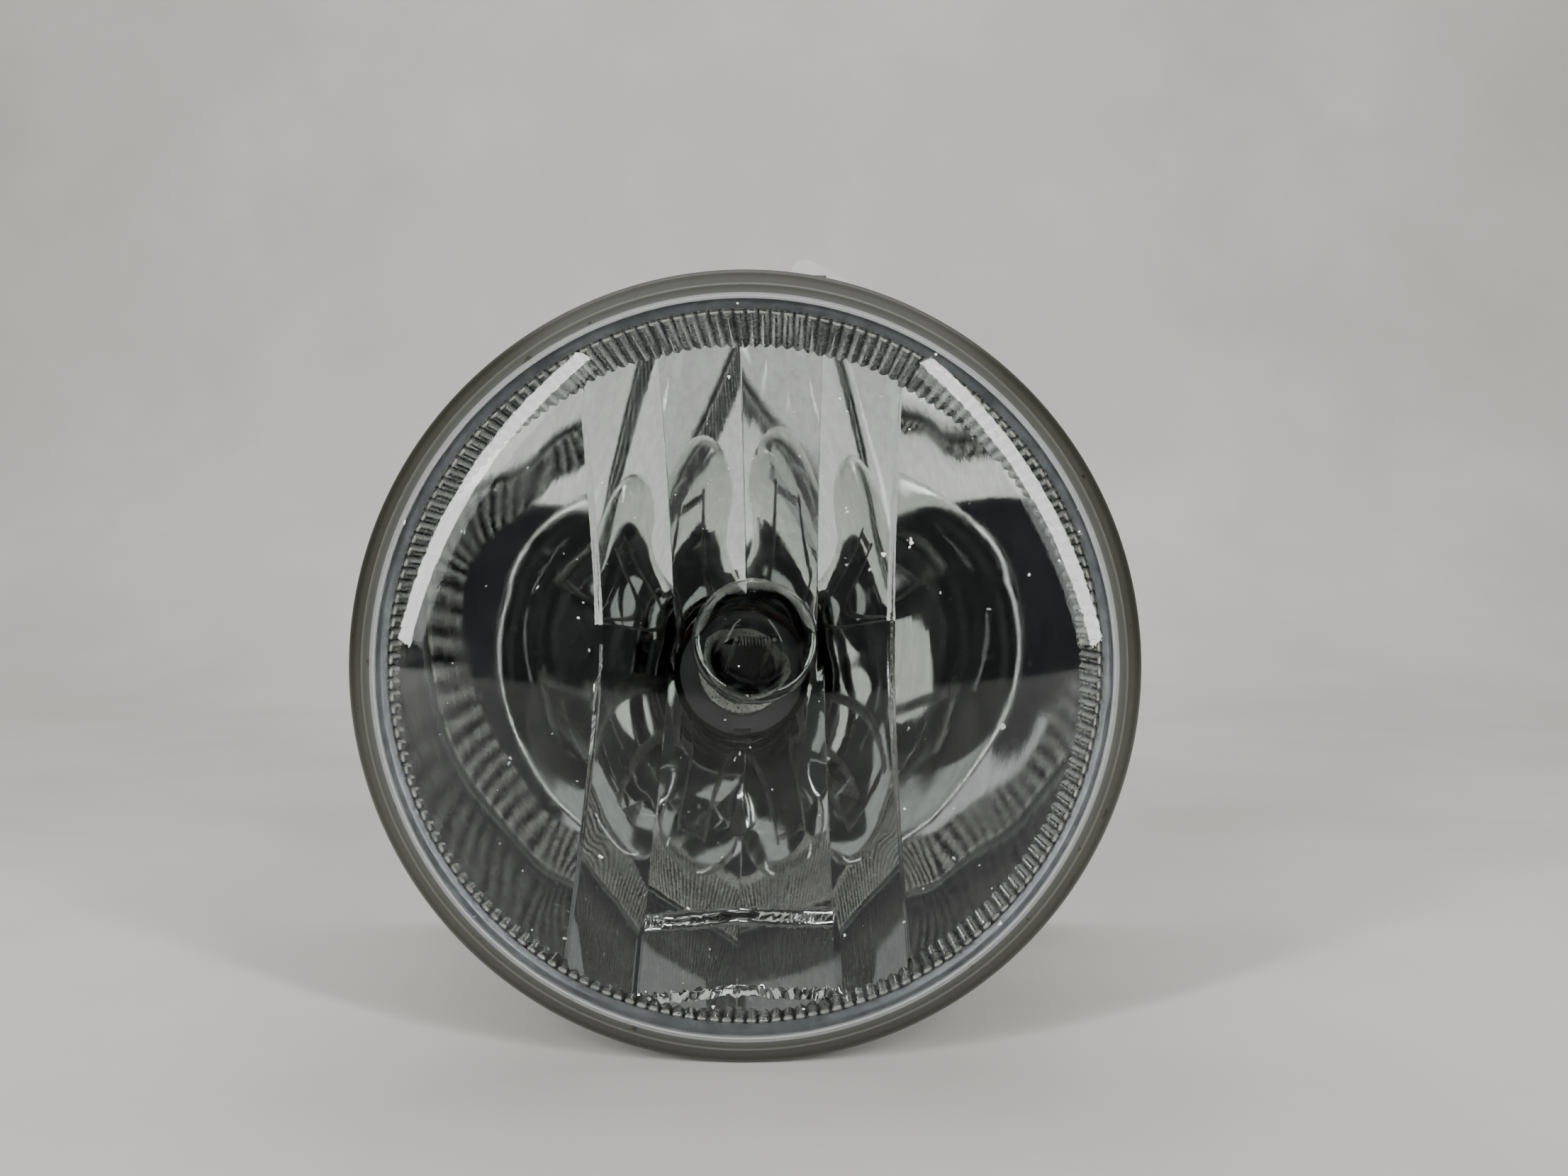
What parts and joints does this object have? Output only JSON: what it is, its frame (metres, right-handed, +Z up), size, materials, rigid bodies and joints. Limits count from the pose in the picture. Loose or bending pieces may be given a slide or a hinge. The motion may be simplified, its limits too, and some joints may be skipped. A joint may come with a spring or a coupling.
{
  "type": "fog light",
  "caption": "Round glass-lens fog light with a fluted mirror reflector, a twist-in clear bulb and a bolted bracket that tilts it by an aiming screw.",
  "frame": {"origin": "middle of the four bolt holes, in the bracket's back face", "axes": "-Y towards the viewer of the lens, +Z up as the lamp stands, +X to the viewer's right; the rim lies in a plane of constant Y"},
  "size_m": [0.11, 0.094, 0.106],
  "materials": {
    "glass_lens": "clear pressed glass, slightly green in the thick rim",
    "adhesive": "grey-olive adhesive",
    "mirror_coat": "vacuum aluminised, smooth",
    "housing_plastic": "raw moulded thermoset, light grey",
    "vent_rubber": "black rubber",
    "membrane": "white porous disc",
    "zinc_steel": "zinc plated",
    "nylon_white": "natural nylon",
    "bracket_plastic": "black glass-filled nylon",
    "spring_steel": "dark spring steel",
    "bulb_glass": "thin clear glass",
    "tungsten": "drawn tungsten",
    "neck_metal": "pale brass",
    "base_plastic": "dark grey heat-resistant plastic",
    "seal_rubber": "red-brown silicone",
    "tin": "tin plated"
  },
  "bodies": {
    "bracket": {"bracket": "bracket_plastic", "bolt_sleeves": "zinc_steel", "pivot_bush_left": "nylon_white", "pivot_bush_right": "nylon_white", "aim_bush": "nylon_white"},
    "lamp": {"lens": "glass_lens", "lens_adhesive": "adhesive", "reflector": "mirror_coat", "housing": "housing_plastic", "vent_cap": "vent_rubber", "vent_membrane": "membrane", "pivot_stud_left": "zinc_steel", "pivot_stud_right": "zinc_steel"},
    "aim_nut": {"aim_nut": "nylon_white"},
    "aim_screw": {"aim_screw": "zinc_steel", "aim_clip": "spring_steel"},
    "bulb": {"bulb_glass": "bulb_glass", "bulb_filament": "tungsten", "bulb_leads": "tungsten", "bulb_neck_ring": "neck_metal", "bulb_base": "base_plastic", "bulb_seal": "seal_rubber", "bulb_terminals": "tin"}
  },
  "joints": [
    {"name": "aim_tilt", "type": "hinge", "parent": "bracket", "child": "lamp", "pos_m": [0, -0.035, 0], "axis": [1, 0, 0], "range_deg": [-4, 4]},
    {"name": "nut_travel", "type": "slide", "parent": "bracket", "child": "aim_nut", "axis": [0, 1, 0], "range_m": [-0.0036, 0.0036]},
    {"name": "screw_turn", "type": "hinge", "parent": "bracket", "child": "aim_screw", "pos_m": [0.008, 0, 0.05], "axis": [0, 1, 0], "range_deg": [-640, 640]},
    {"name": "bulb_turn", "type": "hinge", "parent": "lamp", "child": "bulb", "pos_m": [-0.0018, -0.019, -0.0036], "axis": [-0.1094, 0.9606, -0.2556], "range_deg": [0, 45]}
  ],
  "couplings": [
    {"joint": "nut_travel", "follows": "aim_tilt", "m_per_rad": -0.05},
    {"joint": "screw_turn", "follows": "aim_tilt", "ratio": 157.08}
  ]
}
